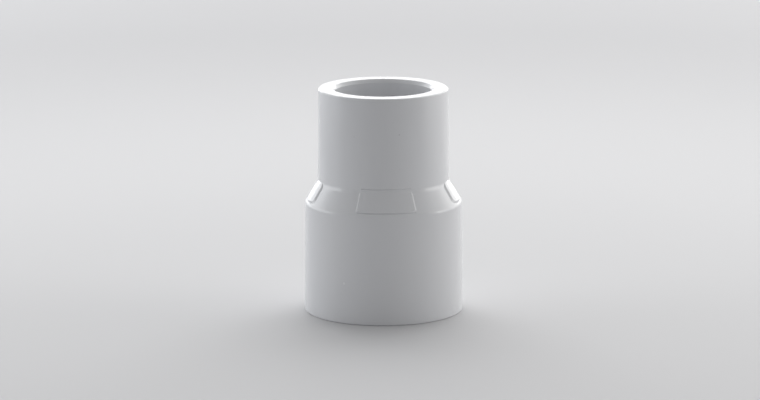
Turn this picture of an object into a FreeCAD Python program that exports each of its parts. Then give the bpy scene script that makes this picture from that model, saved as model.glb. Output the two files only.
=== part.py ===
import FreeCAD, Part
import math
import os

# A concentric reducer for plastic pressure pipe: one injection moulding with a glue-in socket at each end.
# All sizes are in millimetres and degrees. The large mouth stands on z = 0, the axis is Z, and the small
# mouth is at the top. The front of the fitting faces -Y.

# Sockets. Each takes a pipe of the named outside diameter, glued in up to a stop.
LARGE_PIPE_DIAMETER = 33.40
SMALL_PIPE_DIAMETER = 26.67
SOCKET_CLEARANCE = 0.03
LARGE_SOCKET_DEPTH = 28.6
SMALL_SOCKET_DEPTH = 25.4

# The stops are ledges as wide as the pipe's wall, and a tapered waterway joins them.
LARGE_STOP_WIDTH = 4.58
SMALL_STOP_WIDTH = 3.91
WATERWAY_LENGTH = 7.6

# Walls around the sockets, measured at the mouths. The outsides of both barrels widen downwards by the
# draft angle, so the small barrel's wall grows thicker towards the taper and the large barrel's thinner.
LARGE_WALL = 5.12
SMALL_WALL = 4.43
DRAFT_ANGLE = 0.5

# The outer taper starts just above the large socket's stop. Both of its ends are blended into the barrels.
SHOULDER_LENGTH = 1.6
TAPER_LENGTH = 5.7
LOWER_BLEND_RADIUS = 1.75
UPPER_BLEND_RADIUS = 2.8

# Mouth edges: a rounded outer edge and a bevel that leads the pipe in.
MOUTH_EDGE_RADIUS = 0.35
LEAD_IN_DEPTH = 1.0
LEAD_IN_WIDTH = 0.5

# Low pads on the taper: a wide one at the front and one opposite, and a narrow one on each side.
# A direction is the way that a pad's middle faces, from the front towards +X.
WIDE_PAD_DIRECTION = 2.0
WIDE_PAD_SPAN = 48.0
WIDE_PAD_HEIGHT = 0.15
WIDE_PAD_CORNER_RADIUS = 0.7
NARROW_PAD_DIRECTION = 74.25
NARROW_PAD_SPAN = 21.5
NARROW_PAD_HEIGHT = 0.34
NARROW_PAD_CORNER_RADIUS = 1.2
PAD_LEDGE_INSET = 0.4
PAD_ROOT_DEPTH = 1.6
PAD_TOP_OVERLAP = 0.08

# Sizes that follow from the ones above.
AXIS_START = FreeCAD.Vector(0, 0, 0)
AXIS = FreeCAD.Vector(0, 0, 1)
large_socket_radius = LARGE_PIPE_DIAMETER / 2 + SOCKET_CLEARANCE
small_socket_radius = SMALL_PIPE_DIAMETER / 2 + SOCKET_CLEARANCE
large_mouth_radius = large_socket_radius + LARGE_WALL
small_mouth_radius = small_socket_radius + SMALL_WALL
small_stop_height = LARGE_SOCKET_DEPTH + WATERWAY_LENGTH
overall_length = small_stop_height + SMALL_SOCKET_DEPTH
taper_start = LARGE_SOCKET_DEPTH + SHOULDER_LENGTH
taper_end = taper_start + TAPER_LENGTH
draft_slope = math.tan(math.radians(DRAFT_ANGLE))
taper_start_radius = large_mouth_radius - taper_start * draft_slope
taper_end_radius = small_mouth_radius + (overall_length - taper_end) * draft_slope


def point(radius, height):
    """A point of a section, in the half-plane that faces +X."""
    return FreeCAD.Vector(radius, 0, height)


def rounded_outline(corners):
    """A closed wire through the corners, each given as a point and the radius that rounds it."""
    edges = []
    arc_starts = []
    arc_ends = []
    for number, (corner, radius) in enumerate(corners):
        previous_corner = corners[number - 1][0]
        next_corner = corners[(number + 1) % len(corners)][0]
        to_previous = (previous_corner - corner).normalize()
        to_next = (next_corner - corner).normalize()
        half_angle = to_previous.getAngle(to_next) / 2
        tangent_length = radius / math.tan(half_angle)
        start = corner + to_previous * tangent_length
        end = corner + to_next * tangent_length
        if radius > 0:
            inwards = (to_previous + to_next).normalize()
            middle = corner + inwards * (radius / math.sin(half_angle) - radius)
            edges.append(Part.Arc(start, middle, end).toShape())
        arc_starts.append(start)
        arc_ends.append(end)
    for number, end in enumerate(arc_ends):
        next_start = arc_starts[(number + 1) % len(arc_starts)]
        edges.append(Part.LineSegment(end, next_start).toShape())
    return Part.Wire(Part.__sortEdges__(edges))


def make_moulding():
    """The fitting without its pads: one section turned about the axis."""
    outline = rounded_outline(
        (
            (point(large_socket_radius + LEAD_IN_WIDTH, 0), 0),
            (point(large_mouth_radius, 0), MOUTH_EDGE_RADIUS),
            (point(taper_start_radius, taper_start), LOWER_BLEND_RADIUS),
            (point(taper_end_radius, taper_end), UPPER_BLEND_RADIUS),
            (point(small_mouth_radius, overall_length), MOUTH_EDGE_RADIUS),
            (point(small_socket_radius + LEAD_IN_WIDTH, overall_length), 0),
            (point(small_socket_radius, overall_length - LEAD_IN_DEPTH), 0),
            (point(small_socket_radius, small_stop_height), 0),
            (point(small_socket_radius - SMALL_STOP_WIDTH, small_stop_height), 0),
            (point(large_socket_radius - LARGE_STOP_WIDTH, LARGE_SOCKET_DEPTH), 0),
            (point(large_socket_radius, LARGE_SOCKET_DEPTH), 0),
            (point(large_socket_radius, LEAD_IN_DEPTH), 0),
        )
    )
    return Part.Face(outline).revolve(AXIS_START, AXIS, 360)


def make_pad(direction, span, height, corner_radius):
    """One pad, parallel to the taper. It runs up to the small barrel and ends below in an upright ledge."""
    taper_low = point(taper_start_radius, taper_start)
    taper_high = point(taper_end_radius, taper_end)
    up_taper = (taper_high - taper_low).normalize()
    outwards = FreeCAD.Vector(up_taper.z, 0, -up_taper.x)
    surface = taper_low + outwards * height
    ledge_radius = taper_start_radius - PAD_LEDGE_INSET
    ledge_top = surface + up_taper * ((ledge_radius - surface.x) / up_taper.x)
    ledge_foot = ledge_top - AXIS * PAD_ROOT_DEPTH
    top_end = surface + up_taper * ((taper_end_radius - surface.x) / up_taper.x + PAD_TOP_OVERLAP)
    top_root = top_end - outwards * PAD_ROOT_DEPTH
    ledge_root = ledge_foot - FreeCAD.Vector(PAD_ROOT_DEPTH, 0, 0)
    section = Part.makePolygon((ledge_foot, ledge_top, top_end, top_root, ledge_root, ledge_foot))
    pad = Part.Face(section).revolve(AXIS_START, AXIS, span)

    def is_corner(edge):
        """Whether the edge lies on a side of the pad, at its ledge or at its top end."""
        middle = edge.CenterOfMass
        radius = math.hypot(middle.x, middle.y)
        for end_middle in ((ledge_foot + ledge_top) / 2, (top_end + top_root) / 2):
            if math.hypot(radius - end_middle.x, middle.z - end_middle.z) < 1e-6:
                return isinstance(edge.Curve, Part.Line)
        return False

    # A gentle taper leaves little room for the corners, so there they are rounded less.
    lean = -up_taper.x
    room = (top_end - ledge_top).Length * lean / (1 + lean)
    rounding = min(corner_radius, 0.9 * room)
    pad = pad.makeFillet(rounding, [edge for edge in pad.Edges if is_corner(edge)])
    front = -90
    pad.rotate(AXIS_START, AXIS, front + direction - span / 2)
    return pad


def make_reducer_body():
    """The whole moulding, which is the only piece of the fitting."""
    wide_pad = (WIDE_PAD_SPAN, WIDE_PAD_HEIGHT, WIDE_PAD_CORNER_RADIUS)
    narrow_pad = (NARROW_PAD_SPAN, NARROW_PAD_HEIGHT, NARROW_PAD_CORNER_RADIUS)
    pads = (
        make_pad(WIDE_PAD_DIRECTION, *wide_pad),
        make_pad(WIDE_PAD_DIRECTION + 180, *wide_pad),
        make_pad(NARROW_PAD_DIRECTION, *narrow_pad),
        make_pad(-NARROW_PAD_DIRECTION, *narrow_pad),
    )
    return make_moulding().fuse(pads)


os.makedirs("parts", exist_ok=True)
reducer_body = make_reducer_body()
reducer_body.exportStep("parts/reducer_body.step")
print("reducer_body: type", reducer_body.ShapeType, "solids", len(reducer_body.Solids))
print("valid", reducer_body.isValid(), "volume", round(reducer_body.Volume, 1))
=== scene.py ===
import math

import bpy
from mathutils import Matrix, Vector


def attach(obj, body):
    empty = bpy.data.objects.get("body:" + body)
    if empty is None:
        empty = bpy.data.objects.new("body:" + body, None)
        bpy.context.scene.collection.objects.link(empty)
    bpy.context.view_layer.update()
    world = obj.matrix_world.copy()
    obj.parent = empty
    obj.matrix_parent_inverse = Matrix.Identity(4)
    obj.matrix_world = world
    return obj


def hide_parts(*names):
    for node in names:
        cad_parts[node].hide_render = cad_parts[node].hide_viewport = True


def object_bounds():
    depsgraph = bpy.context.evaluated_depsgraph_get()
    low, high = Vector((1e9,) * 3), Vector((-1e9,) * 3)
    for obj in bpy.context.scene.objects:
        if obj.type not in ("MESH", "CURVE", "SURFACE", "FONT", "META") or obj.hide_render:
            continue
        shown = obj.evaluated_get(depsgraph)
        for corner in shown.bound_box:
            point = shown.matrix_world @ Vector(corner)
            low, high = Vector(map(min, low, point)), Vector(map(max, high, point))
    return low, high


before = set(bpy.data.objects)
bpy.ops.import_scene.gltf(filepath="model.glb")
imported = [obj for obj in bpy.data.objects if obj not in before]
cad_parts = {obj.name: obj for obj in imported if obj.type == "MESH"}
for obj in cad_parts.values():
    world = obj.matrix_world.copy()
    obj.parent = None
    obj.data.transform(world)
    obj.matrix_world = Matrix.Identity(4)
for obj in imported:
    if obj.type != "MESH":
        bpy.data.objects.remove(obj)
cad_low, cad_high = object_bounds()

# A concentric reducer for plastic pressure pipe: one white moulding with a glue-in socket at each end.
# All sizes are in metres. It stands on its large mouth, the axis is Z, and the front faces -Y.

MM = 0.001

# The sockets and their walls. The outside radii and the length come from the frame.
LARGE_SOCKET_RADIUS = 16.73 * MM
SMALL_SOCKET_RADIUS = 13.365 * MM
LARGE_SOCKET_DEPTH = 28.6 * MM
SMALL_SOCKET_DEPTH = 25.4 * MM
LARGE_STOP_WIDTH = 4.58 * MM
SMALL_STOP_WIDTH = 3.91 * MM
SMALL_WALL = 4.43 * MM
LEAD_IN_DEPTH = 1.0 * MM
LEAD_IN_WIDTH = 0.5 * MM

# The outer taper between the barrels.
DRAFT_SLOPE = math.tan(math.radians(0.5))
TAPER_START = 30.2 * MM
TAPER_END = 35.9 * MM

# Rounding radii of the moulding's edges.
MOUTH_ROUNDING = 0.35 * MM
LOWER_BLEND = 1.75 * MM
UPPER_BLEND = 2.8 * MM
BEVEL_ROUNDING = 0.12 * MM
STOP_ROUNDING = 0.3 * MM

# The low pads on the taper. Directions turn from the front towards +X, and angles are in degrees.
WIDE_PAD_DIRECTION = 2.0
WIDE_PAD_SPAN = 48.0
WIDE_PAD_CORNER = 0.7 * MM
WIDE_PAD_HEIGHT = 0.15 * MM
WIDE_PAD_WALL_SLOPE = 12.0
NARROW_PAD_DIRECTION = 74.25
NARROW_PAD_SPAN = 21.5
NARROW_PAD_CORNER = 1.2 * MM
NARROW_PAD_HEIGHT = 0.34 * MM
NARROW_PAD_WALL_SLOPE = 20.0
PAD_END_STEP = 4.5
PAD_LEDGE_INSET = 0.4 * MM
PAD_RIM_ROUNDING = 0.1 * MM
PAD_ROOT = 1.6 * MM
PAD_TOP_OVERLAP = 0.08 * MM

# Fine grooves above and below the wide pads, left by the edge of a mould insert. They fade to one side.
GROOVE_RADIUS = 0.13 * MM
GROOVE_SHIFT = 0.13 * MM
GROOVE_SIDES = 10
TOP_GROOVE_GAP = 0.9 * MM

# How finely the shapes are divided. Corners that turn more than the last two angles count as sharp.
TURN_STEPS = 360
BLEND_SEGMENTS = 12
MOUTH_SEGMENTS = 8
LEAD_IN_SEGMENTS = 5
STOP_SEGMENTS = 6
PAD_CORNER_SEGMENTS = 8
PAD_RIM_SEGMENTS = 6
TOUCHING = 0.002 * MM
SAME_ANGLE = 0.01
SMOOTH_BELOW = math.radians(17)
PAD_RIM_SHARPNESS = math.radians(14)

# The plastic: two shades that the clouds mix, and the colours of specks and nicks.
PVC_COOL = (0.70, 0.71, 0.735)
PVC_WARM = (0.715, 0.72, 0.735)
SPECK_COLOUR = (0.12, 0.11, 0.1)
NICK_COLOUR = (0.9, 0.9, 0.92)
SPECK_STRENGTH = 0.35
NICK_STRENGTH = 0.7
SCRATCH_SHARE = 0.5
PVC_IOR = 1.53
PVC_ROUGHNESS = 0.2
CLOUD_ROUGHNESS = 0.08
SCUFF_ROUGHNESS = 0.25
SKIN_RELIEF = 0.012 * MM
NICK_DEPTH = -0.4

# The floor's colour carries painted light and shade: lighter round the fitting, fading to a painted shade
# further out, and to a painted light far out. Each fade gives from where, to where, and to which colour.
FLOOR_RADIUS = 4.0
FLOOR_SIDES = 96
FLOOR_ROUGHNESS = 0.7
FLOOR_COLOUR = (0.58, 0.58, 0.59)
FLOOR_PAINTED_LIGHT_FADES = ((0.16, 0.5, (0.4, 0.4, 0.41)), (0.6, 1.1, (0.92, 0.92, 0.92)))

ROOM_COLOUR = (1, 1, 1)
ROOM_BRIGHTNESS = 0.375
WHITE_LIGHT = (1, 1, 1)
COOL_LIGHT = (0.96, 0.98, 1)
WARM_LIGHT = (1, 0.99, 0.97)

# The camera stands in front and looks a little down. Its lens is in millimetres and its angles in degrees.
CAMERA_PLACE = (-0.00096, -0.9763, 0.2346)
CAMERA_TILT = 78.18
CAMERA_ROLL = -0.178
CAMERA_LENS = 172
CAMERA_SENSOR = 36
CAMERA_CLIP_END = 20

large_mouth_radius = cad_high.x
small_mouth_radius = SMALL_SOCKET_RADIUS + SMALL_WALL
top = cad_high.z
taper_start_radius = large_mouth_radius - TAPER_START * DRAFT_SLOPE
taper_end_radius = small_mouth_radius + (top - TAPER_END) * DRAFT_SLOPE
small_stop_height = top - SMALL_SOCKET_DEPTH


def deselect_everything():
    if bpy.context.object and bpy.context.object.mode != "OBJECT":
        bpy.ops.object.mode_set(mode="OBJECT")
    bpy.ops.object.select_all(action="DESELECT")


def work_on(piece):
    """Makes the piece the only selected object and the active one."""
    deselect_everything()
    piece.select_set(True)
    bpy.context.view_layer.objects.active = piece


def select_edges(piece, wanted):
    """Selects, in edit mode, the edges whose two end points both pass the test."""
    work_on(piece)
    bpy.ops.object.mode_set(mode="EDIT")
    bpy.ops.mesh.select_mode(type="EDGE")
    bpy.ops.mesh.select_all(action="DESELECT")
    bpy.ops.object.mode_set(mode="OBJECT")
    points = piece.data.vertices
    for edge in piece.data.edges:
        edge.select = all(wanted(points[end].co) for end in edge.vertices)
    bpy.ops.object.mode_set(mode="EDIT")


def bevel_selected(offset, segments):
    """Rounds the selected edges and leaves edit mode."""
    bpy.ops.mesh.bevel(
        offset_type="OFFSET",
        offset=offset,
        segments=segments,
        profile=0.5,
        affect="EDGES",
        clamp_overlap=False,
    )
    bpy.ops.object.mode_set(mode="OBJECT")


def clean_up(piece):
    """Merges doubled points and turns every face outwards."""
    work_on(piece)
    bpy.ops.object.mode_set(mode="EDIT")
    bpy.ops.mesh.select_all(action="SELECT")
    bpy.ops.mesh.remove_doubles(threshold=TOUCHING)
    bpy.ops.mesh.normals_make_consistent(inside=False)
    bpy.ops.object.mode_set(mode="OBJECT")


# The moulding is turned ring by ring, then each ring that the mould rounds is rounded.


def turn_moulding():
    """Extrudes a ring round the whole section: up the outside, over the rim, and down the bore."""
    section = (
        (large_mouth_radius, 0.0),
        (taper_start_radius, TAPER_START),
        (taper_end_radius, TAPER_END),
        (small_mouth_radius, top),
        (SMALL_SOCKET_RADIUS + LEAD_IN_WIDTH, top),
        (SMALL_SOCKET_RADIUS, top - LEAD_IN_DEPTH),
        (SMALL_SOCKET_RADIUS, small_stop_height),
        (SMALL_SOCKET_RADIUS - SMALL_STOP_WIDTH, small_stop_height),
        (LARGE_SOCKET_RADIUS - LARGE_STOP_WIDTH, LARGE_SOCKET_DEPTH),
        (LARGE_SOCKET_RADIUS, LARGE_SOCKET_DEPTH),
        (LARGE_SOCKET_RADIUS, LEAD_IN_DEPTH),
        (LARGE_SOCKET_RADIUS + LEAD_IN_WIDTH, 0.0),
        (large_mouth_radius, 0.0),
    )
    radius, height = section[0]
    deselect_everything()
    bpy.ops.mesh.primitive_circle_add(vertices=TURN_STEPS, radius=radius, location=(0, 0, height))
    moulding = bpy.context.object
    moulding.name = "reducer_moulding"
    bpy.ops.object.mode_set(mode="EDIT")
    bpy.ops.mesh.select_all(action="SELECT")
    for next_radius, next_height in section[1:]:
        bpy.ops.mesh.extrude_region_move(
            TRANSFORM_OT_translate={"value": (0, 0, next_height - height)}
        )
        stretch = next_radius / radius
        bpy.ops.transform.resize(value=(stretch, stretch, 1), center_override=(0, 0, next_height))
        radius, height = next_radius, next_height
    clean_up(moulding)
    return moulding


def round_ring(moulding, radius, height, rounding, turn, segments):
    """Rounds the ring edge at that radius and height, where the section turns by that many radians."""

    def on_ring(point):
        return abs(point.xy.length - radius) < TOUCHING and abs(point.z - height) < TOUCHING

    select_edges(moulding, on_ring)
    bevel_selected(rounding * math.tan(turn / 2), segments)


def round_moulding(moulding):
    """Rounds both ends of the taper, the mouths' edges and bevels, and the stops."""
    taper_lean = math.atan2(taper_start_radius - taper_end_radius, TAPER_END - TAPER_START)
    taper_turn = taper_lean - math.atan(DRAFT_SLOPE)
    right_angle = math.pi / 2
    bevel_turn = math.atan2(LEAD_IN_DEPTH, LEAD_IN_WIDTH)
    round_ring(moulding, taper_start_radius, TAPER_START, LOWER_BLEND, taper_turn, BLEND_SEGMENTS)
    round_ring(moulding, taper_end_radius, TAPER_END, UPPER_BLEND, taper_turn, BLEND_SEGMENTS)
    round_ring(moulding, large_mouth_radius, 0, MOUTH_ROUNDING, right_angle, MOUTH_SEGMENTS)
    round_ring(moulding, small_mouth_radius, top, MOUTH_ROUNDING, right_angle, MOUTH_SEGMENTS)
    for socket_radius, mouth_height in ((SMALL_SOCKET_RADIUS, top), (LARGE_SOCKET_RADIUS, 0)):
        bevel_radius = socket_radius + LEAD_IN_WIDTH
        round_ring(moulding, bevel_radius, mouth_height, BEVEL_ROUNDING, bevel_turn, LEAD_IN_SEGMENTS)
    for radius, height in (
        (SMALL_SOCKET_RADIUS - SMALL_STOP_WIDTH, small_stop_height),
        (LARGE_SOCKET_RADIUS - LARGE_STOP_WIDTH, LARGE_SOCKET_DEPTH),
        (SMALL_SOCKET_RADIUS, small_stop_height),
        (LARGE_SOCKET_RADIUS, LARGE_SOCKET_DEPTH),
    ):
        round_ring(moulding, radius, height, STOP_ROUNDING, right_angle, STOP_SEGMENTS)


# A pad starts as a strip of its section. It is cut to its ledge and root, spun round the axis, and rounded.


def make_pad(name, direction, foot_span, corner, height, wall_slope):
    """A low pad, parallel to the taper, with sloping side walls and a small upright ledge below."""
    up_taper = Vector((taper_end_radius - taper_start_radius, 0, TAPER_END - TAPER_START)).normalized()
    outwards = Vector((up_taper.z, 0, -up_taper.x))
    surface = Vector((taper_start_radius, 0, TAPER_START)) + outwards * height
    ledge_radius = taper_start_radius - PAD_LEDGE_INSET
    ledge_top = surface + up_taper * ((ledge_radius - surface.x) / up_taper.x)
    top_end = surface + up_taper * ((taper_end_radius - surface.x) / up_taper.x + PAD_TOP_OVERLAP)
    strip_start = ledge_top - up_taper * PAD_ROOT * 2
    strip_length = (top_end - strip_start).length
    strip_middle = (strip_start + top_end) / 2 - outwards * PAD_ROOT / 2

    deselect_everything()
    lean = math.atan2(up_taper.x, up_taper.z)
    bpy.ops.mesh.primitive_plane_add(size=1, location=strip_middle, rotation=(math.pi / 2, lean, 0))
    pad = bpy.context.object
    pad.name = name
    pad.scale = (PAD_ROOT, strip_length, 1)
    bpy.ops.object.transform_apply(location=True, rotation=True, scale=True)
    bpy.ops.object.mode_set(mode="EDIT")
    bpy.ops.mesh.select_all(action="SELECT")
    bpy.ops.mesh.bisect(
        plane_co=(ledge_radius, 0, 0), plane_no=(1, 0, 0), clear_outer=True, threshold=TOUCHING
    )
    bpy.ops.mesh.select_all(action="SELECT")
    root_height = ledge_top.z - PAD_ROOT
    bpy.ops.mesh.bisect(
        plane_co=(0, 0, root_height), plane_no=(0, 0, -1), clear_outer=True, threshold=TOUCHING
    )
    bpy.ops.mesh.select_all(action="SELECT")
    wall_turn = math.degrees(height / math.tan(math.radians(wall_slope)) / ledge_radius)
    span = foot_span - 2 * wall_turn
    middle_span = span - 2 * PAD_END_STEP
    for steps, angle in ((1, PAD_END_STEP), (round(middle_span), middle_span), (1, PAD_END_STEP)):
        bpy.ops.mesh.spin(steps=steps, angle=math.radians(angle), center=(0, 0, 0), axis=(0, 0, 1))
    clean_up(pad)
    slope_walls(pad, span, wall_turn * PAD_ROOT / height, surface, outwards)
    round_pad(pad, span, corner, ledge_radius, top_end)

    # The spin turns clockwise from +X, and the front is a quarter turn clockwise from +X.
    pad.rotation_euler.z = math.radians(direction + span / 2 - 90)
    work_on(pad)
    bpy.ops.object.transform_apply(location=False, rotation=True, scale=False)
    return pad


def turned_from_x(point):
    """How far the point is turned clockwise from +X, in degrees."""
    return -math.degrees(math.atan2(point.y, point.x))


def slope_walls(pad, span, root_turn, surface, outwards):
    """Swings the roots of both side walls outwards, so that the walls slope down to the taper."""
    for side, root_swing in ((0, -root_turn), (span, root_turn)):

        def at_the_root(point):
            on_this_side = abs(turned_from_x(point) - side) < SAME_ANGLE
            section_point = Vector((point.xy.length, 0, point.z))
            return on_this_side and (section_point - surface).dot(outwards) < -TOUCHING

        select_edges(pad, at_the_root)
        bpy.ops.transform.rotate(
            value=math.radians(root_swing), orient_axis="Z", center_override=(0, 0, 0)
        )
        bpy.ops.object.mode_set(mode="OBJECT")


def round_pad(pad, span, corner, ledge_radius, top_end):
    """Rounds the pad's four corners, as seen from outside, and then its whole rim."""

    def on_a_side(point):
        turned = turned_from_x(point)
        return turned < SAME_ANGLE or turned > span - SAME_ANGLE

    def on_ledge(point):
        return on_a_side(point) and abs(point.xy.length - ledge_radius) < TOUCHING

    def on_top_end(point):
        root_drop = (top_end.x - point.xy.length) * taper_slope
        return on_a_side(point) and abs(point.z - top_end.z + root_drop) < TOUCHING

    taper_slope = (taper_start_radius - taper_end_radius) / (TAPER_END - TAPER_START)
    for is_corner in (on_ledge, on_top_end):
        select_edges(pad, is_corner)
        bevel_selected(corner, PAD_CORNER_SEGMENTS)
    bpy.ops.object.mode_set(mode="EDIT")
    bpy.ops.mesh.select_all(action="DESELECT")
    bpy.ops.mesh.edges_select_sharp(sharpness=PAD_RIM_SHARPNESS)
    bevel_selected(PAD_RIM_ROUNDING, PAD_RIM_SEGMENTS)
    clean_up(pad)


def make_groove(name, radius, height, direction):
    """The wire that a groove is cut with: a thin arc along a wide pad, set off so that it fades to a side."""
    deselect_everything()
    bpy.ops.mesh.primitive_circle_add(
        vertices=GROOVE_SIDES, radius=GROOVE_RADIUS, fill_type="NGON",
        location=(radius, 0, height), rotation=(math.pi / 2, 0, 0),
    )
    wire = bpy.context.object
    wire.name = name
    bpy.ops.object.transform_apply(location=True, rotation=True, scale=True)
    bpy.ops.object.mode_set(mode="EDIT")
    bpy.ops.mesh.select_all(action="SELECT")
    groove_span = WIDE_PAD_SPAN - 2 * math.degrees(WIDE_PAD_CORNER / radius)
    bpy.ops.mesh.spin(
        steps=round(groove_span), angle=math.radians(groove_span), center=(0, 0, 0), axis=(0, 0, 1)
    )
    clean_up(wire)
    wire.rotation_euler.z = math.radians(direction + groove_span / 2 - 90)
    sideways = math.radians(direction)
    wire.location = (GROOVE_SHIFT * math.cos(sideways), GROOVE_SHIFT * math.sin(sideways), 0)
    work_on(wire)
    bpy.ops.object.transform_apply(location=True, rotation=True, scale=False)
    return wire


def combine(moulding, tool, operation):
    """Adds the tool's shape to the moulding, or cuts it away."""
    work_on(moulding)
    boolean = moulding.modifiers.new(tool.name, "BOOLEAN")
    boolean.operation = operation
    boolean.solver = "EXACT"
    boolean.object = tool
    bpy.ops.object.modifier_apply(modifier=boolean.name)
    bpy.data.objects.remove(tool)


def make_reducer():
    """The whole fitting: the turned moulding with its four pads, and the grooves along the wide ones."""
    moulding = turn_moulding()
    round_moulding(moulding)
    wide_pad = (WIDE_PAD_SPAN, WIDE_PAD_CORNER, WIDE_PAD_HEIGHT, WIDE_PAD_WALL_SLOPE)
    narrow_pad = (NARROW_PAD_SPAN, NARROW_PAD_CORNER, NARROW_PAD_HEIGHT, NARROW_PAD_WALL_SLOPE)
    for name, direction, shape in (
        ("front_pad", WIDE_PAD_DIRECTION, wide_pad),
        ("back_pad", WIDE_PAD_DIRECTION + 180, wide_pad),
        ("right_pad", NARROW_PAD_DIRECTION, narrow_pad),
        ("left_pad", -NARROW_PAD_DIRECTION, narrow_pad),
    ):
        combine(moulding, make_pad(name, direction, *shape), "UNION")
    pad_slope = (taper_start_radius - taper_end_radius) / (TAPER_END - TAPER_START)
    ledge_radius = taper_start_radius - PAD_LEDGE_INSET
    pad_top_height = TAPER_END + TOP_GROOVE_GAP
    pad_foot_height = TAPER_START + PAD_LEDGE_INSET / pad_slope
    for direction in (WIDE_PAD_DIRECTION, WIDE_PAD_DIRECTION + 180):
        for name, radius, height in (
            ("top_groove", taper_end_radius, pad_top_height),
            ("foot_groove", ledge_radius, pad_foot_height),
        ):
            combine(moulding, make_groove(name, radius, height, direction), "DIFFERENCE")
    clean_up(moulding)
    bpy.ops.object.shade_smooth_by_angle(angle=SMOOTH_BELOW)
    return moulding


# The plastic. Every effect is a node group that reads the position on the piece, in metres.


def start_group(name, inputs, outputs):
    """A shader node group with named sockets. Inputs are (name, kind, value) and outputs (name, kind)."""
    group = bpy.data.node_groups.new(name, "ShaderNodeTree")
    for label, kind, value in inputs:
        socket = group.interface.new_socket(label, in_out="INPUT", socket_type=kind)
        if value is not None:
            socket.default_value = value
    for label, kind in outputs:
        group.interface.new_socket(label, in_out="OUTPUT", socket_type=kind)
    entry = group.nodes.new("NodeGroupInput")
    leaving = group.nodes.new("NodeGroupOutput")
    return group, entry, leaving


def maths(tree, operation, first, second=None, third=None, clamp=False):
    """A Math node. Each argument is an output socket or a number."""
    node = tree.nodes.new("ShaderNodeMath")
    node.operation = operation
    node.use_clamp = clamp
    for socket, value in zip(node.inputs, (first, second, third)):
        if isinstance(value, bpy.types.NodeSocket):
            tree.links.new(value, socket)
        elif value is not None:
            socket.default_value = value
    return node.outputs["Value"]


def stretched(tree, position, stretch):
    """The position multiplied by a vector, axis by axis."""
    node = tree.nodes.new("ShaderNodeVectorMath")
    node.operation = "MULTIPLY"
    tree.links.new(position, node.inputs[0])
    node.inputs[1].default_value = stretch
    return node.outputs["Vector"]


def noise(tree, position, scale, detail, roughness):
    node = tree.nodes.new("ShaderNodeTexNoise")
    node.inputs["Detail"].default_value = detail
    node.inputs["Roughness"].default_value = roughness
    tree.links.new(position, node.inputs["Vector"])
    tree.links.new(scale, node.inputs["Scale"])
    return node.outputs["Fac"]


def make_melt_flow():
    """Broad soft clouds, left where the melt flowed and cooled unevenly."""
    group, entry, leaving = start_group(
        "melt_flow",
        (("Position", "NodeSocketVector", None), ("Size", "NodeSocketFloat", 0.02)),
        (("Clouds", "NodeSocketFloat"),),
    )
    scale = maths(group, "DIVIDE", 1, entry.outputs["Size"])
    clouds = noise(group, stretched(group, entry.outputs["Position"], (1, 1, 0.4)), scale, 2, 0.5)
    group.links.new(clouds, leaving.inputs["Clouds"])
    return group


def make_mould_skin():
    """The height of the moulded skin: faint waves, and the fine grain of a polished steel mould."""
    group, entry, leaving = start_group(
        "mould_skin",
        (
            ("Position", "NodeSocketVector", None),
            ("Wave Size", "NodeSocketFloat", 0.008),
            ("Grain Size", "NodeSocketFloat", 0.0003),
            ("Grain Share", "NodeSocketFloat", 0.1),
        ),
        (("Height", "NodeSocketFloat"),),
    )
    wave_scale = maths(group, "DIVIDE", 1, entry.outputs["Wave Size"])
    grain_scale = maths(group, "DIVIDE", 1, entry.outputs["Grain Size"])
    waves = noise(group, entry.outputs["Position"], wave_scale, 1, 0.4)
    grain = noise(group, entry.outputs["Position"], grain_scale, 3, 0.6)
    height = maths(group, "MULTIPLY_ADD", grain, entry.outputs["Grain Share"], waves)
    group.links.new(height, leaving.inputs["Height"])
    return group


def make_marks(name, stretch):
    """Small scattered marks: 1 in a mark's middle and 0 elsewhere. The stretch makes them long or round."""
    group, entry, leaving = start_group(
        name,
        (
            ("Position", "NodeSocketVector", None),
            ("Spacing", "NodeSocketFloat", 0.004),
            ("Mark Size", "NodeSocketFloat", 0.0003),
            ("Kept Share", "NodeSocketFloat", 0.2),
        ),
        (("Mask", "NodeSocketFloat"),),
    )
    position = stretched(group, entry.outputs["Position"], stretch)
    cells = group.nodes.new("ShaderNodeTexVoronoi")
    group.links.new(position, cells.inputs["Vector"])
    group.links.new(maths(group, "DIVIDE", 1, entry.outputs["Spacing"]), cells.inputs["Scale"])
    distance = maths(group, "MULTIPLY", cells.outputs["Distance"], entry.outputs["Spacing"])
    half = maths(group, "DIVIDE", entry.outputs["Mark Size"], 2)
    inside = maths(group, "SUBTRACT", 1, maths(group, "DIVIDE", distance, half), clamp=True)
    lottery = group.nodes.new("ShaderNodeSeparateColor")
    group.links.new(cells.outputs["Color"], lottery.inputs["Color"])
    kept = maths(group, "LESS_THAN", lottery.outputs["Red"], entry.outputs["Kept Share"])
    mask = maths(group, "MULTIPLY", inside, kept)
    group.links.new(maths(group, "MULTIPLY", mask, 2, clamp=True), leaving.inputs["Mask"])
    return group


def place_group(tree, group, position, **values):
    node = tree.nodes.new("ShaderNodeGroup")
    node.node_tree = group
    tree.links.new(position, node.inputs["Position"])
    for label, value in values.items():
        node.inputs[label.replace("_", " ")].default_value = value
    return node


def place_marks(tree, position, name, stretch, spacing, mark_size, kept_share):
    """The mask of one kind of mark."""
    marks = make_marks(name, stretch)
    sizes = {"Spacing": spacing, "Mark_Size": mark_size, "Kept_Share": kept_share}
    return place_group(tree, marks, position, **sizes).outputs["Mask"]


def mixed_colour(tree, mask, under, over):
    """The colour under, with the colour over it where the mask is 1."""
    node = tree.nodes.new("ShaderNodeMix")
    node.data_type = "RGBA"
    tree.links.new(mask, node.inputs["Factor"])
    for socket, colour in ((node.inputs["A"], under), (node.inputs["B"], over)):
        if isinstance(colour, bpy.types.NodeSocket):
            tree.links.new(colour, socket)
        else:
            socket.default_value = (*colour, 1)
    return node.outputs["Result"]


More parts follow.
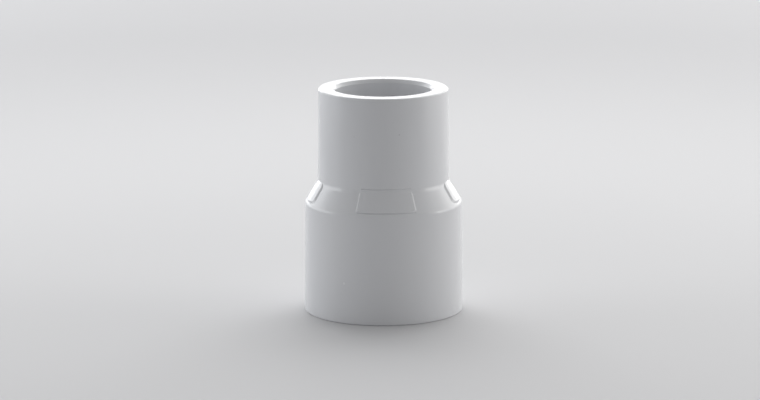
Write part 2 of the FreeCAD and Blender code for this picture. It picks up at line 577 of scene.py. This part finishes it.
def make_moulded_pvc():
    """White rigid PVC straight from a polished mould, with a few specks, nicks and handling scratches."""
    material = bpy.data.materials.new("moulded_pvc")
    material.use_nodes = True
    tree = material.node_tree
    tree.nodes.clear()
    output = tree.nodes.new("ShaderNodeOutputMaterial")
    shader = tree.nodes.new("ShaderNodeBsdfPrincipled")
    tree.links.new(shader.outputs["BSDF"], output.inputs["Surface"])
    position = tree.nodes.new("ShaderNodeTexCoord").outputs["Object"]

    flow = place_group(tree, make_melt_flow(), position, Size=22 * MM).outputs["Clouds"]
    specks = place_marks(tree, position, "dark_specks", (1, 1, 1), 4.2 * MM, 0.45 * MM, 0.12)
    nicks = place_marks(tree, position, "pale_nicks", (1, 1, 0.5), 3.7 * MM, 0.4 * MM, 0.14)
    scratches = place_marks(tree, position, "hairline_scratches", (1, 1, 0.06), 2.1 * MM, 0.18 * MM, 0.05)

    resin = mixed_colour(tree, flow, PVC_COOL, PVC_WARM)
    speckled = mixed_colour(tree, maths(tree, "MULTIPLY", specks, SPECK_STRENGTH), resin, SPECK_COLOUR)
    pale = maths(tree, "MAXIMUM", nicks, maths(tree, "MULTIPLY", scratches, SCRATCH_SHARE))
    colour = mixed_colour(tree, maths(tree, "MULTIPLY", pale, NICK_STRENGTH), speckled, NICK_COLOUR)
    tree.links.new(colour, shader.inputs["Base Color"])

    gloss = maths(tree, "MULTIPLY_ADD", flow, CLOUD_ROUGHNESS, PVC_ROUGHNESS)
    scuffed = maths(tree, "MULTIPLY_ADD", pale, SCUFF_ROUGHNESS, gloss)
    tree.links.new(scuffed, shader.inputs["Roughness"])
    shader.inputs["IOR"].default_value = PVC_IOR

    skin_sizes = {"Wave_Size": 9 * MM, "Grain_Size": 0.25 * MM, "Grain_Share": 0.06}
    skin = place_group(tree, make_mould_skin(), position, **skin_sizes)
    nicked = maths(tree, "MULTIPLY_ADD", pale, NICK_DEPTH, skin.outputs["Height"])
    bump = tree.nodes.new("ShaderNodeBump")
    bump.inputs["Strength"].default_value = 1
    bump.inputs["Distance"].default_value = SKIN_RELIEF
    tree.links.new(nicked, bump.inputs["Height"])
    tree.links.new(bump.outputs["Normal"], shader.inputs["Normal"])
    return material


# Floor, lights and camera.


def make_floor():
    """A round of pale paper with painted light and shade: brightest round the fitting and far out, darker in
    between.
    """
    deselect_everything()
    bpy.ops.mesh.primitive_circle_add(
        vertices=FLOOR_SIDES, radius=FLOOR_RADIUS, fill_type="NGON", location=(0, 0, 0)
    )
    floor = bpy.context.object
    floor.name = "floor"
    material = bpy.data.materials.new("floor_paper_painted_light")
    material.use_nodes = True
    tree = material.node_tree
    shader = tree.nodes["Principled BSDF"]
    position = tree.nodes.new("ShaderNodeTexCoord").outputs["Object"]
    distance = tree.nodes.new("ShaderNodeVectorMath")
    distance.operation = "LENGTH"
    tree.links.new(position, distance.inputs[0])
    colour = FLOOR_COLOUR
    # The first fade paints shade on the paper, and the second paints light far out.
    for fade_start, fade_end, painted_floor_colour in FLOOR_PAINTED_LIGHT_FADES:
        fade = tree.nodes.new("ShaderNodeMapRange")
        fade.interpolation_type = "SMOOTHSTEP"
        tree.links.new(distance.outputs["Value"], fade.inputs["Value"])
        fade.inputs["From Min"].default_value = fade_start
        fade.inputs["From Max"].default_value = fade_end
        colour = mixed_colour(tree, fade.outputs["Result"], colour, painted_floor_colour)
    tree.links.new(colour, shader.inputs["Base Color"])
    shader.inputs["Roughness"].default_value = FLOOR_ROUGHNESS
    floor.data.materials.append(material)


def make_softbox(name, place, width, height, brightness, colour):
    """A rectangular light aimed at the middle of the fitting. Brightness is what the light's face shows."""
    light = bpy.data.lights.new(name, "AREA")
    light.shape = "RECTANGLE"
    light.size = width
    light.size_y = height
    light.energy = brightness * math.pi * width * height
    light.color = colour
    lamp = bpy.data.objects.new(name, light)
    lamp.visible_camera = False
    bpy.context.scene.collection.objects.link(lamp)
    lamp.location = place
    aim = Vector((0, 0, top / 2)) - lamp.location
    lamp.rotation_euler = aim.to_track_quat("-Z", "Y").to_euler()


def make_lights():
    """An evenly lit room, and softboxes beside and behind the fitting."""
    world = bpy.data.worlds.new("studio")
    world.use_nodes = True
    background = world.node_tree.nodes["Background"]
    background.inputs["Color"].default_value = (*ROOM_COLOUR, 1)
    background.inputs["Strength"].default_value = ROOM_BRIGHTNESS
    bpy.context.scene.world = world
    make_softbox("left_softbox", (-0.7, 0.42, 0.2), 1.5, 0.4, 2.0, COOL_LIGHT)
    make_softbox("right_softbox", (0.7, 0.42, 0.2), 1.5, 0.4, 2.1, WARM_LIGHT)
    make_softbox("near_left_softbox", (-0.55, 0.05, 0.2), 0.3, 0.35, 0.5, COOL_LIGHT)
    make_softbox("near_right_softbox", (0.55, 0, 0.2), 0.3, 0.35, 0.9, WARM_LIGHT)
    make_softbox("back_softbox", (0.05, 0.6, 0.7), 1.2, 0.7, 2.0, WHITE_LIGHT)
    make_softbox("low_back_softbox", (0, 1.1, 0.28), 1.6, 0.35, 1.8, WHITE_LIGHT)


def make_camera():
    camera = bpy.data.cameras.new("camera")
    camera.lens = CAMERA_LENS
    camera.sensor_width = CAMERA_SENSOR
    camera.clip_end = CAMERA_CLIP_END
    seat = bpy.data.objects.new("camera", camera)
    bpy.context.scene.collection.objects.link(seat)
    seat.location = CAMERA_PLACE
    tilt = Matrix.Rotation(math.radians(CAMERA_TILT), 3, "X")
    roll = Matrix.Rotation(math.radians(CAMERA_ROLL), 3, "Z")
    seat.rotation_euler = (tilt @ roll).to_euler()
    bpy.context.scene.camera = seat


make_floor()
make_lights()
make_camera()
reducer = make_reducer()
reducer.data.materials.clear()
reducer.data.materials.append(make_moulded_pvc())
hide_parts("reducer_body")
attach(reducer, "root")

bpy.context.scene.view_settings.view_transform = "Standard"
